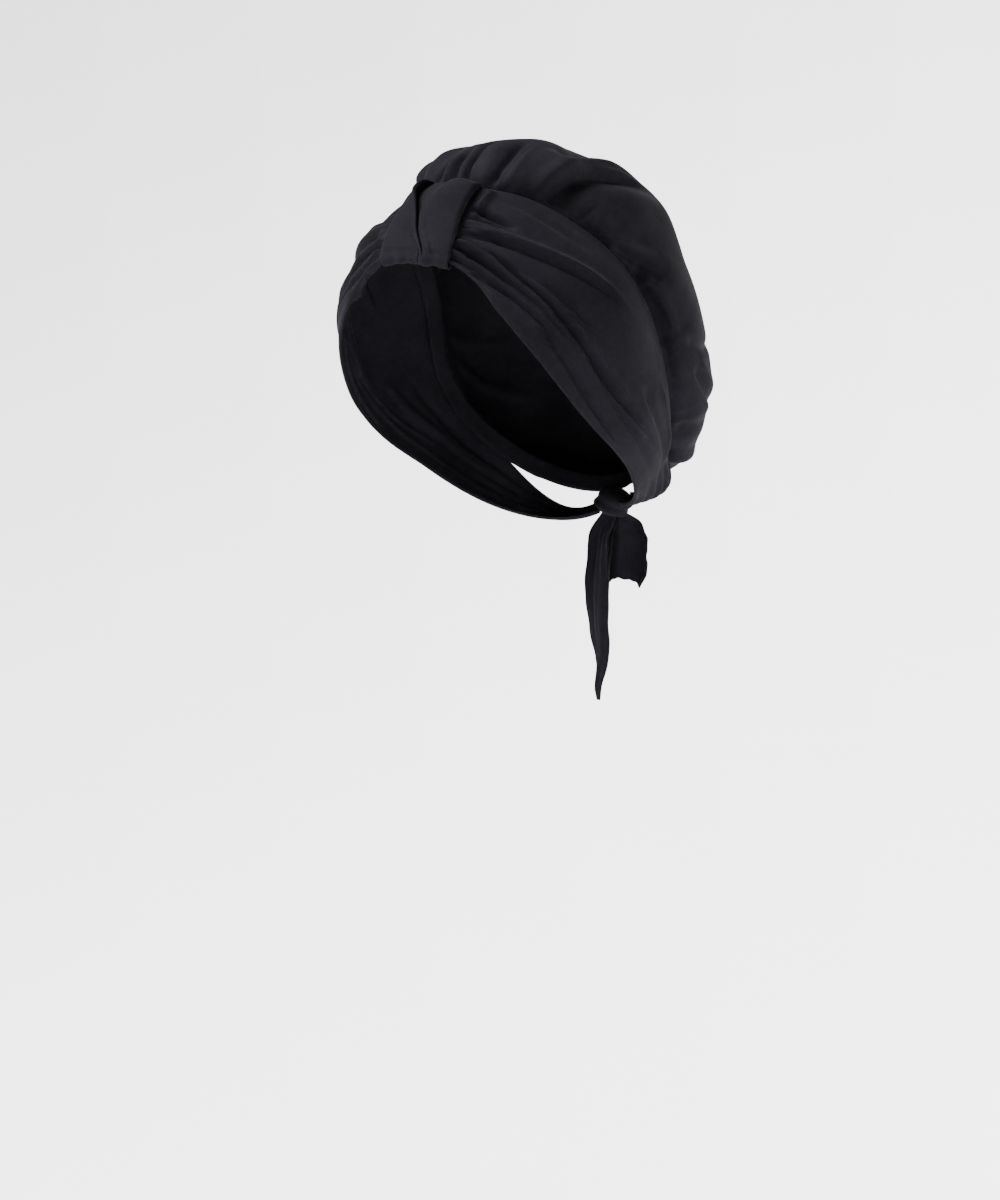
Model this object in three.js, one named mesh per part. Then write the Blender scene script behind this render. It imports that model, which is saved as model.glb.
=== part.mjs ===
// Turban headwrap: a gathered bag of soft cloth, a wide folded band with a short
// strip looped over its front, and two free ends tied in a small knot at the nape.
// Millimetres, +Z up, the front faces -Y, the origin is the middle of the head it is worn on.

import * as THREE from "three";

// The hollow for the head
const HEAD_WIDE = 152;
const HEAD_DEEP = 194;
const HEAD_TALL = 196;
const LEAN_BACK_DEG = 52;

// The cloth
const CLOTH = 2.0;
const LOOP_CLOTH = 1.4;
const TAIL_CLOTH = 1.2;
const GAP = 0.3;

// How far things stand off, and how large they are
const STAND_OFF = 16;
const BAND_PUFF = 10;
const BAG_RISE = 154;
const TUCK_DEPTH = 8;
const TUCK_GAP = 0.9;
const NAPE_LIFT_SHARE = 0.8;
const NAPE_RISE_SHARE = 0.388;
const FOLD_WIDE = 10;
const FOLD_TALL = 6;
const EDGE_EASE_SHARE = 0.05;
const LOOP_PUFF = 0.8;
const LOOP_STEP = 2.4;
const LOOP_HEM_SHARE = 0.72;
const LOOP_ROOM = 1.1;
const KNOT = { x: 20, y: 79, z: -66.5, wide: 20, deep: 16, tall: 16 };
const KNOT_TURN_DEG = 22;
const KNOT_START_SHARE = 0.8;
const KNOT_CREASE_SHARE = 0.07;
const KNOT_WRAPS = { upright: 2, sideways: 1.2 };
const SHORT_TAIL = { long: 42, wide: 32, topY: 80.2, y: 84, wave: 4, halfWavesShare: 2.6 };
const LONG_TAIL = { long: 105, wide: 22, topY: 77.8, y: 76, wave: 3, halfWavesShare: 1.5 };
const TAIL_WAVE_SHARE = 0.2;
const TAIL_DROP_SHARE = 0.15;
const TAIL_HEM_SHARE = 0.07;

// Where along the band its folds begin beside the strip, and the turn of one whole side
const LOOP_CLEAR_SHARE = 0.075;
const LOOP_CLEAR_EASE_SHARE = 0.02;
const BAND_TURN_DEG = 165;
const FULL_TURN_DEG = 360;
const HALF_TURN_DEG = 180;

// How soon a fold rises at its start and how long it dies away
const FOLD_START_SHARE = 0.12;
const FOLD_END_SHARE = 0.4;

// How the strip's thickness eases at its low and top ends, and how far its lap slopes off
const LOOP_LOW_SHARE = 0.15;
const LOOP_TOP_SHARE = 0.12;
const LOOP_TOP_HELD_SHARE = 0.3;
const LAP_SLOPE_SHARE = 0.75;

// Mesh counts
const BAG_COLUMN_COUNT = 60;
const BAG_ROW_COUNT = 22;
const TUCK_ROW_COUNT = 2;
const BAND_COLUMN_COUNT = 60;
const BAND_ROW_COUNT = 13;
const LOOP_FRONT_ROW_COUNT = 13;
const LOOP_UNDER_ROW_COUNT = 4;
const LOOP_INSIDE_ROW_COUNT = 6;
const TAIL_COLUMN_COUNT = 7;
const LONG_ROW_COUNT = 16;
const SHORT_ROW_COUNT = 10;
const KNOT_COLUMN_COUNT = 16;
const KNOT_ROW_COUNT = 10;
const FOLD_STEP_COUNT = 18;

// How the rows and columns crowd toward the edges and the front, and the steps beside a
// point that give the way out of the bag there
const BAND_CROWDING = 1.15;
const BAG_CROWDING = 1.35;
const BAG_FRONT_CROWDING = 0.5;
const POLE_SHARE = 0.995;
const NUDGE_SHARE = 0.004;
const NUDGE_FLOOR_SHARE = 0.02;
const NUDGE_DEG = 1;

// The band at stations from the front (0) to the knot (1), the same on both sides.
// Turns are degrees round the axis of the wrap; rises are shares of half the head's
// height along that axis; lifts are shares of STAND_OFF, and puff is a share of BAND_PUFF.
const BAND_NAMES = ["at", "lowTurn", "lowRise", "lowLift", "topTurn", "topRise", "topLift", "puff"];
const BAND = [
  [0.00, 0, -0.210, 0.33, 0, 0.378, 0.88, 0.30],
  [0.07, 12, -0.194, 0.33, 11, 0.398, 0.90, 0.30],
  [0.14, 23, -0.204, 0.28, 23, 0.459, 0.88, 0.35],
  [0.22, 35, -0.265, 0.25, 36, 0.510, 0.81, 0.55],
  [0.32, 50, -0.306, 0.25, 53, 0.561, 0.75, 0.85],
  [0.42, 65, -0.316, 0.25, 68, 0.580, 0.69, 1.00],
  [0.52, 80, -0.306, 0.28, 82, 0.562, 0.66, 0.90],
  [0.61, 95, -0.265, 0.31, 95, 0.500, 0.63, 0.70],
  [0.70, 108, -0.204, 0.38, 110, 0.425, 0.66, 0.60],
  [0.79, 122, -0.122, 0.44, 124, 0.388, 0.72, 0.50],
  [0.88, 138, -0.031, 0.50, 137, 0.337, 0.81, 0.30],
  [0.95, 152, 0.071, 0.56, 149, 0.286, 1.44, 0.10],
  [1.00, 164, 0.163, 0.63, 162, 0.255, 0.75, 0.00],
];

// The bag's outline from the band's top edge to its pole, at turns from the front (0)
// to the nape (180). Lean is degrees outward from the wrap's axis; reach and spread are
// shares of BAG_RISE.
const BAG_NAMES = ["turn", "lean", "reach", "spread"];
const BAG = [
  [0, 52, 0.327, 0.251],
  [30, 51, 0.308, 0.250],
  [60, 49, 0.300, 0.220],
  [90, 51, 0.287, 0.172],
  [120, 57, 0.350, 0.177],
  [150, 64, 0.406, 0.189],
  [180, 65, 0.418, 0.193],
];

// Folds. Each follows a path through four places on its surface, given as turn and share
// of the way up. Wide and tall are shares of FOLD_WIDE and FOLD_TALL, a valley's tall is
// below zero, and skew makes one flank steeper. Folds marked 2 are on both sides.
const FOLD_NAMES = ["sides", "a", "aUp", "b", "bUp", "c", "cUp", "d", "dUp", "wide", "tall", "skew"];
const BAG_FOLDS = [
  [1, -10, 0.03, -8, 0.10, -5, 0.18, -3, 0.28, 0.28, -0.50, 0.3],
  [1, -6, 0.03, -5, 0.11, -4, 0.20, -3, 0.32, 0.35, 0.40, 0.0],
  [1, -1, 0.03, -2, 0.10, -2, 0.17, -1, 0.27, 0.28, -0.45, 0.3],
  [1, 4, 0.03, 2, 0.12, 3, 0.22, 5, 0.34, 0.30, -0.60, 0.3],
  [1, 8, 0.03, 7, 0.12, 7, 0.22, 8, 0.36, 0.50, 0.60, 0.0],
  [1, 11, 0.03, 12, 0.12, 12, 0.22, 10, 0.40, 0.35, -0.75, 0.4],
  [1, 17, 0.03, 18, 0.15, 20, 0.28, 24, 0.48, 0.70, 0.35, 0.0],
  [1, -16, 0.03, -15, 0.12, -13, 0.22, -10, 0.36, 0.50, 0.50, 0.0],
  [1, -23, 0.03, -22, 0.12, -20, 0.24, -16, 0.40, 0.40, -0.60, -0.3],
  [2, 22, 0.25, 24, 0.42, 26, 0.58, 36, 0.76, 0.95, -0.75, 0.0],
  [2, 20, 0.03, 27, 0.25, 31, 0.52, 50, 0.66, 0.65, 0.75, 0.3],
  [2, 25, 0.03, 30, 0.22, 38, 0.44, 57, 0.59, 0.60, -1.10, -0.2],
  [1, 38, 0.02, 39, 0.06, 40, 0.10, 42, 0.15, 0.25, -0.30, 0.0],
  [2, 45, 0.04, 54, 0.07, 65, 0.15, 82, 0.30, 0.50, 0.45, 0.2],
  [2, 52, 0.03, 60, 0.05, 70, 0.10, 84, 0.20, 0.45, -0.55, 0.2],
  [2, 67, 0.03, 79, 0.07, 91, 0.09, 106, 0.15, 0.40, 0.50, 0.3],
  [2, 88, 0.03, 100, 0.03, 112, 0.03, 124, 0.03, 0.40, -0.30, 0.0],
  [2, 95, 0.12, 100, 0.15, 105, 0.19, 112, 0.26, 0.45, -0.50, 0.0],
  [2, 113, 0.14, 119, 0.19, 126, 0.24, 136, 0.31, 0.35, -0.60, 0.2],
  [2, 108, 0.10, 116, 0.14, 124, 0.19, 133, 0.25, 0.50, 0.45, 0.0],
  [2, 132, 0.03, 134, 0.10, 137, 0.20, 142, 0.34, 0.45, -0.50, 0.0],
  [2, 148, 0.03, 149, 0.10, 151, 0.18, 154, 0.30, 0.50, 0.50, 0.0],
  [2, 161, 0.03, 162, 0.09, 163, 0.16, 164, 0.26, 0.45, -0.55, 0.0],
  [1, 178, 0.03, 178, 0.10, 179, 0.19, 180, 0.30, 0.60, 0.50, 0.0],
];
const BAND_FOLDS = [
  [2, 0.080, 0.60, 0.110, 0.59, 0.135, 0.58, 0.170, 0.58, 0.32, -0.75, 0.3],
  [2, 0.080, 0.33, 0.200, 0.48, 0.330, 0.60, 0.470, 0.66, 0.35, 0.28, 0.3],
  [2, 0.085, 0.26, 0.200, 0.40, 0.330, 0.52, 0.460, 0.58, 0.40, -0.25, 0.0],
  [2, 0.090, 0.18, 0.320, 0.24, 0.560, 0.235, 0.870, 0.53, 0.30, -0.50, 0.3],
  [2, 0.095, 0.10, 0.140, 0.12, 0.190, 0.15, 0.240, 0.21, 0.22, -0.30, 0.3],
  [2, 0.130, 0.02, 0.170, 0.06, 0.215, 0.11, 0.280, 0.15, 0.22, -0.35, 0.3],
  [2, 0.310, 0.13, 0.420, 0.09, 0.570, 0.07, 0.760, 0.06, 0.30, -0.35, 0.3],
];

// The strip over the front: the turns of its two edges and of the fold where one layer
// laps the other, from the band's low edge (0) to its top (1)
const LOOP_NAMES = ["up", "right", "lap", "left"];
const LOOP = [
  [0.00, -11.0, 5.5, 15.3],
  [0.18, -10.6, 1.7, 14.4],
  [0.36, -9.4, -0.6, 13.0],
  [0.50, -8.6, -2.6, 12.2],
  [0.70, -8.4, -5.0, 11.0],
  [1.00, -8.6, -6.0, 9.3],
];
const LOOP_ACROSS = [1, 0.85, 0.7, 0.56, 0.5, 0.48, 0.36, 0.2, 0];

// The free ends, from the knot down (0 to 1): edges as shares of the tail's width to
// each side of its own middle line, and how far the middle line moves sideways
const TAIL_NAMES = ["down", "right", "left", "shift"];
const SHORT_ROWS_AT = [
  [0.00, -0.16, 0.16, 0.00],
  [0.16, -0.36, 0.38, 0.03],
  [0.40, -0.46, 0.50, 0.06],
  [0.70, -0.48, 0.53, 0.08],
  [0.90, -0.46, 0.50, 0.09],
  [1.00, -0.42, 0.42, 0.09],
];
const LONG_ROWS_AT = [
  [0.00, -0.20, 0.20, -0.06],
  [0.15, -0.38, 0.36, -0.35],
  [0.45, -0.42, 0.42, -0.44],
  [0.62, -0.36, 0.40, -0.42],
  [0.78, -0.18, 0.28, -0.36],
  [0.92, -0.06, 0.10, -0.36],
  [1.00, -0.03, 0.03, -0.38],
];

const DARK_CLOTH = { color: 0x2b2a2f, roughness: 0.92, metalness: 0.0 };

const HALF_HEAD = new THREE.Vector3(HEAD_WIDE, HEAD_DEEP, HEAD_TALL).divideScalar(2);
const LEAN = THREE.MathUtils.degToRad(LEAN_BACK_DEG);
const AXIS = new THREE.Vector3(0, Math.sin(LEAN), Math.cos(LEAN));
const FRONT = new THREE.Vector3(0, -Math.cos(LEAN), Math.sin(LEAN));
const SIDE = new THREE.Vector3(1, 0, 0);

// Curves through the tables

// A smooth curve through the points that never swings past them. A mirrored one is level
// at both ends.
function smoothCurve(xs, ys, mirrored) {
  const steps = xs.slice(1).map((x, i) => x - xs[i]);
  const slopes = steps.map((step, i) => (ys[i + 1] - ys[i]) / step);
  const tangents = xs.map((_, i) => {
    if (i === 0 || i === xs.length - 1) {
      return mirrored ? 0 : slopes[Math.min(i, slopes.length - 1)];
    }
    const [before, after] = [slopes[i - 1], slopes[i]];
    if (before * after <= 0) {
      return 0;
    }
    const heavy = 2 * steps[i] + steps[i - 1];
    const light = steps[i] + 2 * steps[i - 1];
    return (heavy + light) / (heavy / before + light / after);
  });
  return (x) => {
    const held = THREE.MathUtils.clamp(x, xs[0], xs[xs.length - 1]);
    let i = 0;
    while (i < steps.length - 1 && held > xs[i + 1]) {
      i += 1;
    }
    const t = (held - xs[i]) / steps[i];
    const pull = steps[i] * t * (1 - t) * ((1 - t) * tangents[i] - t * tangents[i + 1]);
    return ys[i] + (ys[i + 1] - ys[i]) * t * t * (3 - 2 * t) + pull;
  };
}

// One curve for each column of a table, over the table's first column or another one
function tableCurves(names, rows, { over = names[0], mirrored = false } = {}) {
  const xs = rows.map((row) => row[names.indexOf(over)]);
  const column = (i) => rows.map((row) => row[i]);
  return Object.fromEntries(names.map((name, i) => [name, smoothCurve(xs, column(i), mirrored)]));
}

const bandCurves = tableCurves(BAND_NAMES, BAND);
const topEdge = tableCurves(BAND_NAMES, BAND, { over: "topTurn", mirrored: true });
const bagCurves = tableCurves(BAG_NAMES, BAG, { mirrored: true });
const loopCurves = tableCurves(LOOP_NAMES, LOOP);
const ease = (t) => THREE.MathUtils.smoothstep(t, 0, 1);
const mix = THREE.MathUtils.lerp;

// Places round the head

// Direction away from the wrap's axis at a turn in degrees
function outward(turn) {
  const angle = THREE.MathUtils.degToRad(turn);
  return FRONT.clone().multiplyScalar(Math.cos(angle)).addScaledVector(SIDE, Math.sin(angle));
}

// The point at a turn and rise that lies on the head grown by a lift
function onHead(turn, rise, lift) {
  const grown = HALF_HEAD.clone().addScalar(lift);
  const ray = outward(turn);
  const ray1 = ray.clone().divide(grown);
  const start1 = AXIS.clone().multiplyScalar(rise).divide(grown);
  const a = ray1.lengthSq();
  const b = start1.dot(ray1);
  const c = start1.lengthSq() - 1;
  const reach = (-b + Math.sqrt(Math.max(b * b - a * c, 0))) / a;
  return AXIS.clone().multiplyScalar(rise).addScaledVector(ray, reach);
}

// Folds

// The path of a fold over a surface, with the way its skewed flank faces
function foldPath(row, place, mirror) {
  const fold = Object.fromEntries(FOLD_NAMES.map((name, i) => [name, row[i]]));
  const knots = [[fold.a, fold.aUp], [fold.b, fold.bUp], [fold.c, fold.cUp], [fold.d, fold.dUp]];
  const points = [];
  for (let k = 0; k <= FOLD_STEP_COUNT; k += 1) {
    const u = 3 * k / FOLD_STEP_COUNT;
    const weights = [0, 1, 2, 3].map((i) => [0, 1, 2, 3].reduce(
      (product, j) => (j === i ? product : product * (u - j) / (i - j)), 1));
    const [turn, up] = [0, 1].map((axis) => knots.reduce((sum, knot, i) => sum + knot[axis] * weights[i], 0));
    points.push(place(turn * mirror, up));
  }
  return { points, mirror, wide: fold.wide * FOLD_WIDE, tall: fold.tall * FOLD_TALL, skew: fold.skew };
}

function foldPaths(rows, place) {
  return rows.flatMap((row) => (row[0] === 2 ? [1, -1] : [1]).map((mirror) => foldPath(row, place, mirror)));
}

// The height all folds give at a point of their surface
function foldHeight(point, paths) {
  let height = 0;
  const along = new THREE.Vector3();
  const off = new THREE.Vector3();
  for (const path of paths) {
    let nearest = Infinity;
    let share = 0;
    let flank = 0;
    for (let k = 0; k < FOLD_STEP_COUNT; k += 1) {
      along.subVectors(path.points[k + 1], path.points[k]);
      off.subVectors(point, path.points[k]);
      const t = THREE.MathUtils.clamp(off.dot(along) / along.lengthSq(), 0, 1);
      const distance = off.addScaledVector(along, -t).length();
      if (distance < nearest) {
        nearest = distance;
        share = (k + t) / FOLD_STEP_COUNT;
        flank = Math.sign(along.cross(off).dot(point)) * path.mirror;
      }
    }
    const wide = path.wide * (1 + path.skew * flank);
    const fade = ease(share / FOLD_START_SHARE) * ease((1 - share) / FOLD_END_SHARE);
    height += path.tall * fade * Math.exp(-((nearest / wide) ** 2));
  }
  return height;
}

// Closed solids from grids

// A cloth wall between two faces: place(u, v, side) gives the outer face for side 1 and
// the inner one for side 0. A ring closes on itself across u; a pole closes it at the last v.
function wall(us, vs, place, { ring = false, pole = false } = {}) {
  const positions = [];
  const index = [];
  const table = [0, 1].map((side) => vs.map((v, j) => us.map((u, i) => {
    if (pole && j === vs.length - 1 && i > 0) {
      return -1;
    }
    positions.push(...place(u, v, side).toArray());
    return positions.length / 3 - 1;
  })));
  const at = (side, i, j) => {
    const found = table[side][j][i % us.length];
    return found < 0 ? table[side][j][0] : found;
  };
  const quad = (a, b, c, d) => {
    const corners = [a, b, c, d].filter((corner, i, all) => all.indexOf(corner) === i);
    for (let k = 1; k < corners.length - 1; k += 1) {
      index.push(corners[0], corners[k], corners[k + 1]);
    }
  };
  const columns = ring ? us.length : us.length - 1;
  const last = vs.length - 1;
  for (let i = 0; i < columns; i += 1) {
    for (let j = 0; j < last; j += 1) {
      quad(at(1, i, j), at(1, i + 1, j), at(1, i + 1, j + 1), at(1, i, j + 1));
      quad(at(0, i, j), at(0, i, j + 1), at(0, i + 1, j + 1), at(0, i + 1, j));
    }
    quad(at(0, i, 0), at(0, i + 1, 0), at(1, i + 1, 0), at(1, i, 0));
    if (!pole) {
      quad(at(1, i, last), at(1, i + 1, last), at(0, i + 1, last), at(0, i, last));
    }
  }
  if (!ring) {
    for (let j = 0; j < last; j += 1) {
      quad(at(0, 0, j), at(1, 0, j), at(1, 0, j + 1), at(0, 0, j + 1));
      quad(at(0, columns, j), at(0, columns, j + 1), at(1, columns, j + 1), at(1, columns, j));
    }
  }
  const geometry = new THREE.BufferGeometry();
  geometry.setAttribute("position", new THREE.Float32BufferAttribute(positions, 3));
  geometry.setIndex(index);
  geometry.computeVertexNormals();
  return geometry;
}

const steps = (count) => Array.from({ length: count + 1 }, (_, i) => i / count);

// The band

// The side's own sign, the turn, the rise and the lift of the band at a station
function bandSection(at, up) {
  const near = Math.abs(at);
  const side = at < 0 ? -1 : 1;
  const past = at < 0 ? KNOT_TURN_DEG * ease((near - KNOT_START_SHARE) / (1 - KNOT_START_SHARE)) : 0;
  const curves = bandCurves;
  return {
    turn: side * (mix(curves.lowTurn(near), curves.topTurn(near), up) + past),
    rise: HALF_HEAD.z * mix(curves.lowRise(near), curves.topRise(near), up),
    lift: STAND_OFF * mix(curves.lowLift(near), curves.topLift(near), up)
      + BAND_PUFF * curves.puff(near) * Math.sin(Math.PI * up),
  };
}

function bandBase(at, up) {
  const { turn, rise, lift } = bandSection(at, up);
  return onHead(turn, rise, lift);
}

const bandPaths = foldPaths(BAND_FOLDS, bandBase);

function bandPlace(at, up, side) {
  const { turn, rise, lift } = bandSection(at, up);
  const clearOfLoop = ease((Math.abs(at) - LOOP_CLEAR_SHARE) / LOOP_CLEAR_EASE_SHARE);
  const fold = clearOfLoop * foldHeight(bandBase(at, up), bandPaths);
  return onHead(turn, rise, lift + fold - (side ? 0 : CLOTH));
}

function makeBand() {
  const crowd = (u) => Math.sign(u) * Math.abs(u) ** BAND_CROWDING;
  const stations = steps(BAND_COLUMN_COUNT).map((u) => crowd(2 * u - 1));
  return wall(stations, steps(BAND_ROW_COUNT), bandPlace);
}

// The bag

// The outer face of the bag without its folds. Below 0 it is the hem inside the band.
function bagBase(turn, up) {
  const round = Math.abs(((turn + HALF_TURN_DEG + FULL_TURN_DEG) % FULL_TURN_DEG) - HALF_TURN_DEG);
  const napeRise = round > HALF_TURN_DEG / 2 ? NAPE_RISE_SHARE : 0;
  const rise = HALF_HEAD.z * Math.max(topEdge.topRise(round), napeRise);
  const lift = STAND_OFF * Math.min(topEdge.topLift(round), NAPE_LIFT_SHARE) - CLOTH - TUCK_GAP;
  if (up < 0) {
    return onHead(turn, rise + up * TUCK_DEPTH, lift);
  }
  const ray = outward(turn);
  const start = onHead(turn, rise, lift);
  const lean = THREE.MathUtils.degToRad(bagCurves.lean(round));
  const handle = BAG_RISE * bagCurves.reach(round);
  const spread = BAG_RISE * bagCurves.spread(round);
  const pole = AXIS.clone().multiplyScalar(BAG_RISE);
  const first = start.clone().addScaledVector(ray, handle * Math.sin(lean));
  first.addScaledVector(AXIS, handle * Math.cos(lean));
  const second = pole.clone().addScaledVector(ray, spread);
  return new THREE.CubicBezierCurve3(start, first, second, pole).getPoint(up);
}

// The way out of the bag's face
function bagNormal(turn, up) {
  if (up > POLE_SHARE) {
    return AXIS.clone();
  }
  const near = Math.max(up, NUDGE_FLOOR_SHARE);
  const across = bagBase(turn + NUDGE_DEG, near).sub(bagBase(turn - NUDGE_DEG, near));
  const along = bagBase(turn, near + NUDGE_SHARE).sub(bagBase(turn, near - NUDGE_SHARE));
  return across.cross(along).normalize();
}

const bagPaths = foldPaths(BAG_FOLDS, bagBase);

function bagPlace(turn, up, side) {
  const base = bagBase(turn, up);
  const fold = up > 0 ? ease(up / EDGE_EASE_SHARE) * foldHeight(base, bagPaths) : 0;
  return base.addScaledVector(bagNormal(turn, up), fold - (side ? 0 : CLOTH));
}

function makeBag() {
  const turns = Array.from({ length: BAG_COLUMN_COUNT }, (_, i) => {
    const u = 2 * i / BAG_COLUMN_COUNT - 1;
    return HALF_TURN_DEG * (u - BAG_FRONT_CROWDING * Math.sin(Math.PI * u) / Math.PI);
  });
  const tuck = Array.from({ length: TUCK_ROW_COUNT }, (_, i) => i / TUCK_ROW_COUNT - 1);
  const ups = steps(BAG_ROW_COUNT).map((v) => v ** BAG_CROWDING);
  return wall(turns, [...tuck, ...ups], bagPlace, { ring: true, pole: true });
}

// The strip looped over the front of the band

// The strip runs down the front of the band (down 0 to 1), under its low edge (1 to 2) and
// up inside it (2 to 3)
function loopPlace(across, down, side) {
  const stand = CLOTH / 2 + LOOP_ROOM + (side ? LOOP_CLOTH : 0);
  const isFront = down <= 1;
  const isUnder = !isFront && down <= 2;
  const up = isFront ? 1 - down : isUnder ? 0 : LOOP_HEM_SHARE * (down - 2);
  const right = loopCurves.right(up);
  const lap = loopCurves.lap(up);
  const left = loopCurves.left(up);
  const turn = across < 0.5 ? mix(right, lap, across / 0.5) : mix(lap, left, (across - 0.5) / 0.5);
  const section = bandSection(turn / BAND_TURN_DEG, up);
  const middle = section.lift - CLOTH / 2;
  if (isUnder) {
    const angle = Math.PI * (down - 1);
    return onHead(turn, section.rise - stand * Math.sin(angle), middle + stand * Math.cos(angle));
  }
  if (!isFront) {
    return onHead(turn, section.rise, middle - stand);
  }
  const ends = ease(up / LOOP_LOW_SHARE) * ease((1 - up) / LOOP_TOP_SHARE + LOOP_TOP_HELD_SHARE);
  const lapped = across >= 0.5 ? LOOP_STEP * ease(1 + (0.5 - across) * LAP_SLOPE_SHARE) : 0;
  const puff = LOOP_PUFF * Math.sqrt(Math.max(Math.sin(Math.PI * up), 0));
  return onHead(turn, section.rise, middle + stand + ends * (lapped + puff));
}

function makeLoop() {
  const under = steps(LOOP_UNDER_ROW_COUNT).slice(1).map((v) => 1 + v);
  const inside = steps(LOOP_INSIDE_ROW_COUNT).slice(1).map((v) => 2 + v);
  return wall(LOOP_ACROSS, [...steps(LOOP_FRONT_ROW_COUNT), ...under, ...inside], loopPlace);
}

// The knot and the free ends

function makeKnot() {
  const geometry = new THREE.SphereGeometry(0.5, KNOT_COLUMN_COUNT, KNOT_ROW_COUNT);
  const position = geometry.getAttribute("position");
  const point = new THREE.Vector3();
  for (let i = 0; i < position.count; i += 1) {
    point.fromBufferAttribute(position, i);
    const wraps = point.z * KNOT_WRAPS.upright + point.x * KNOT_WRAPS.sideways;
    point.multiplyScalar(1 - KNOT_CREASE_SHARE * (1 + Math.cos(2 * Math.PI * wraps)));
    point.set(point.x * KNOT.wide, point.y * KNOT.deep, point.z * KNOT.tall);
    position.setXYZ(i, KNOT.x + point.x, KNOT.y + point.y, KNOT.z + point.z);
  }
  geometry.computeVertexNormals();
  return geometry;
}

const knotGeometry = makeKnot();
knotGeometry.computeBoundingBox();

// A hanging end: across it from right to left, and down from the knot
function makeTail(size, rows, count) {
  const curves = tableCurves(TAIL_NAMES, rows);
  const top = knotGeometry.boundingBox.min.z - GAP;
  const place = (down, across, side) => {
    const middle = KNOT.x + size.wide * curves.shift(down);
    const x = middle + size.wide * mix(curves.right(down), curves.left(down), across);
    const wave = Math.sin(size.halfWavesShare * Math.PI * across + 2 * down);
    const z = top - size.long * down * (1 - TAIL_HEM_SHARE * Math.sin(Math.PI * across));
    const hung = mix(size.topY, size.y, ease(down / TAIL_DROP_SHARE));
    const y = hung + size.wave * ease(down / TAIL_WAVE_SHARE) * wave;
    return new THREE.Vector3(x, y + (side ? -TAIL_CLOTH / 2 : TAIL_CLOTH / 2), z);
  };
  return wall(steps(count), steps(TAIL_COLUMN_COUNT), place);
}

function piece(name, geometry) {
  const mesh = new THREE.Mesh(geometry, new THREE.MeshStandardMaterial(DARK_CLOTH));
  mesh.name = name;
  return mesh;
}

const wrap = new THREE.Group();
wrap.name = "turban_headwrap";
wrap.add(piece("crown", makeBag()));
wrap.add(piece("band", makeBand()));
wrap.add(piece("front_loop", makeLoop()));
wrap.add(piece("nape_knot", knotGeometry));
wrap.add(piece("tie_tail_short", makeTail(SHORT_TAIL, SHORT_ROWS_AT, SHORT_ROW_COUNT)));
wrap.add(piece("tie_tail_long", makeTail(LONG_TAIL, LONG_ROWS_AT, LONG_ROW_COUNT)));

export default wrap;
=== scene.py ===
"""Turban headwrap of soft dark cloth, held up as a head holds it. Lengths below are in
millimetres up to the meshes, which are made in metres."""

import math

import bmesh
import bpy
import numpy as np
from mathutils import Matrix, Vector


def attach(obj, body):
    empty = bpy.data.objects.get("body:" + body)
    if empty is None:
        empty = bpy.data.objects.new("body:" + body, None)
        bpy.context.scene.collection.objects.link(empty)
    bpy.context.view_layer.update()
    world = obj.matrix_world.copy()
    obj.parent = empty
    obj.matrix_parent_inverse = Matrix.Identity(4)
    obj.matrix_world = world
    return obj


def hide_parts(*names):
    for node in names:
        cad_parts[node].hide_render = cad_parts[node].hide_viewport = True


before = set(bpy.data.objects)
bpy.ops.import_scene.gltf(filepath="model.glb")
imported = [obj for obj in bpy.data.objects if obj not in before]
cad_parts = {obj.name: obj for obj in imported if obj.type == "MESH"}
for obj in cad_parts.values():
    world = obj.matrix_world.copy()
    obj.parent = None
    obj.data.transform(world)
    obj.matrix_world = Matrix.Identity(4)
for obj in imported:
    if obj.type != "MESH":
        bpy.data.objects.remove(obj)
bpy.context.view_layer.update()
MM = 0.001

# The hollow for the head
HEAD_WIDE = 152.0
HEAD_DEEP = 194.0
HEAD_TALL = 196.0
LEAN_BACK = 52.0

# How thick the cloth is
CLOTH = 2.0
LOOP_CLOTH = 1.4
TAIL_CLOTH = 1.1

# How far the free ends run up into the knot, and how many times its named size the knot is
TAIL_TUCK = 2.5
KNOT_GROWN = 1.2

# How far things stand off, and how large they are
STAND_OFF = 16.0
BAND_PUFF = 10.0
BAG_RISE = 154.0
TUCK_DEPTH = 8.0
TUCK_GAP = 0.9
NAPE_LIFT = 0.8
NAPE_RISE = 0.388
FOLD_WIDE = 10.0
FOLD_TALL = 6.0
EDGE_EASE = 0.05
LOOP_PUFF = 0.8
LOOP_HEM = 0.72
LOOP_ROOM = 1.1
LAP_RISE = 4.8
KNOT = {"x": 20.0, "y": 79.0, "z": -66.5, "wide": 20.0, "deep": 16.0, "tall": 16.0}
KNOT_TURN = 22.0
KNOT_LOW = 7.1
SHORT_TAIL = {
    "long": 42.0,
    "wide": 32.0,
    "from": 80.2,
    "y": 84.0,
    "wave": 4.0,
    "half_waves": 2.6,
    "fine_waves": 9,
}
LONG_TAIL = {
    "long": 105.0,
    "wide": 22.0,
    "from": 77.8,
    "y": 76.0,
    "wave": 3.0,
    "half_waves": 1.5,
    "fine_waves": 6,
}

# Mesh counts
BAG_COLUMNS = 320
BAG_ROWS = 110
TUCK_ROWS = 6
BAND_COLUMNS = 380
BAND_ROWS = 100
LOOP_FRONT_ROWS = 80
LOOP_UNDER_ROWS = 10
LOOP_INSIDE_ROWS = 20
LOOP_COLUMNS = 44
TAIL_COLUMNS = 36
TAIL_ROWS = 90
KNOT_COLUMNS = 72
KNOT_ROWS = 48
FOLD_STEPS = 20
BAND_CROWDING = 1.1
BAG_CROWDING = 0.4
BAG_UP_CROWDING = 1.25
WELD = 2e-6

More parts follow.
